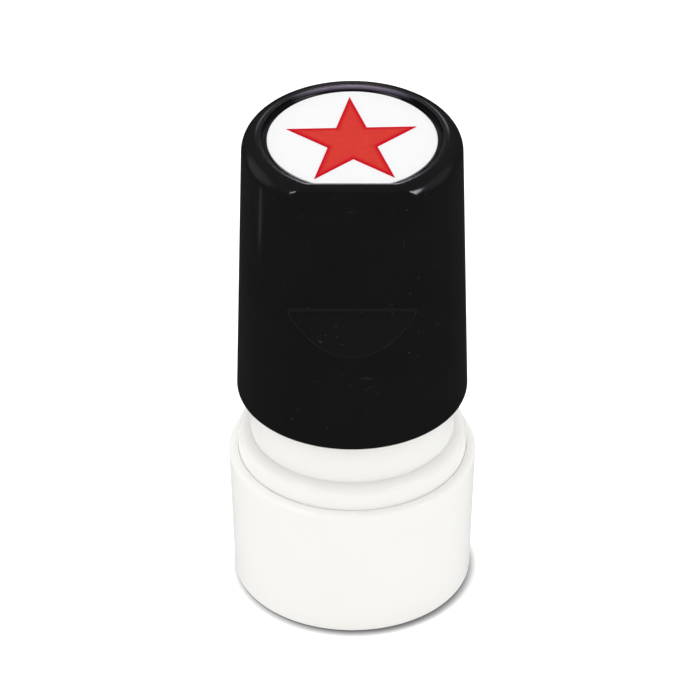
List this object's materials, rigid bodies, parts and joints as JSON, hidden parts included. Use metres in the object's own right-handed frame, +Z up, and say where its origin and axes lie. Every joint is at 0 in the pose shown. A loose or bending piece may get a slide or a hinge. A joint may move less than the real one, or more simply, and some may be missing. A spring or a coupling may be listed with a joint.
{
  "type": "rubber stamp",
  "caption": "Round pre-inked rubber stamp: a black press-down handle with a thumb flat and a star index plate, over a white sprung sleeve that stands in its dust cap.",
  "frame": {"origin": "centre of the dust cap's foot, on the table", "axes": "+Z up along the stamp's axis, -Y towards the front, the side with the thumb flat"},
  "size_m": [0.0335, 0.0334, 0.0706],
  "materials": {
    "white_plastic": "moulded, soft gloss, slightly translucent",
    "black_plastic": "moulded, glossy, faint scratches",
    "core_plastic": "moulded, satin",
    "spring_steel": "drawn wire",
    "plug_plastic": "moulded, satin",
    "ink_felt": "felt soaked in red ink",
    "porous_rubber": "microporous rubber, damp with red ink",
    "index_card": "smooth white plate",
    "red_print": "printed film"
  },
  "bodies": {
    "cap": {"dust_cap": "white_plastic"},
    "guide": {"sleeve": "white_plastic", "guide_hub": "core_plastic", "return_spring": "spring_steel"},
    "core": {"plunger": "core_plastic", "spring_retainer": "core_plastic", "filler_plug": "plug_plastic", "ink_pad": "ink_felt", "porous_die": "porous_rubber", "die_bezel": "black_plastic"},
    "handle": {"handle_shell": "black_plastic", "index_plate": "index_card", "index_star": "red_print"}
  },
  "joints": [
    {"name": "cap_off", "type": "slide", "parent": "cap", "child": "guide", "axis": [0, 0, 1], "range_m": [0, 0.025]},
    {"name": "press", "type": "slide", "parent": "guide", "child": "core", "axis": [0, 0, 1], "range_m": [-0.005, 0], "stiffness_N_per_m": 500, "springref_m": 0.006, "deforming": ["return_spring"]},
    {"name": "handle_off", "type": "slide", "parent": "core", "child": "handle", "axis": [0, 0, 1], "range_m": [0, 0.04]}
  ]
}
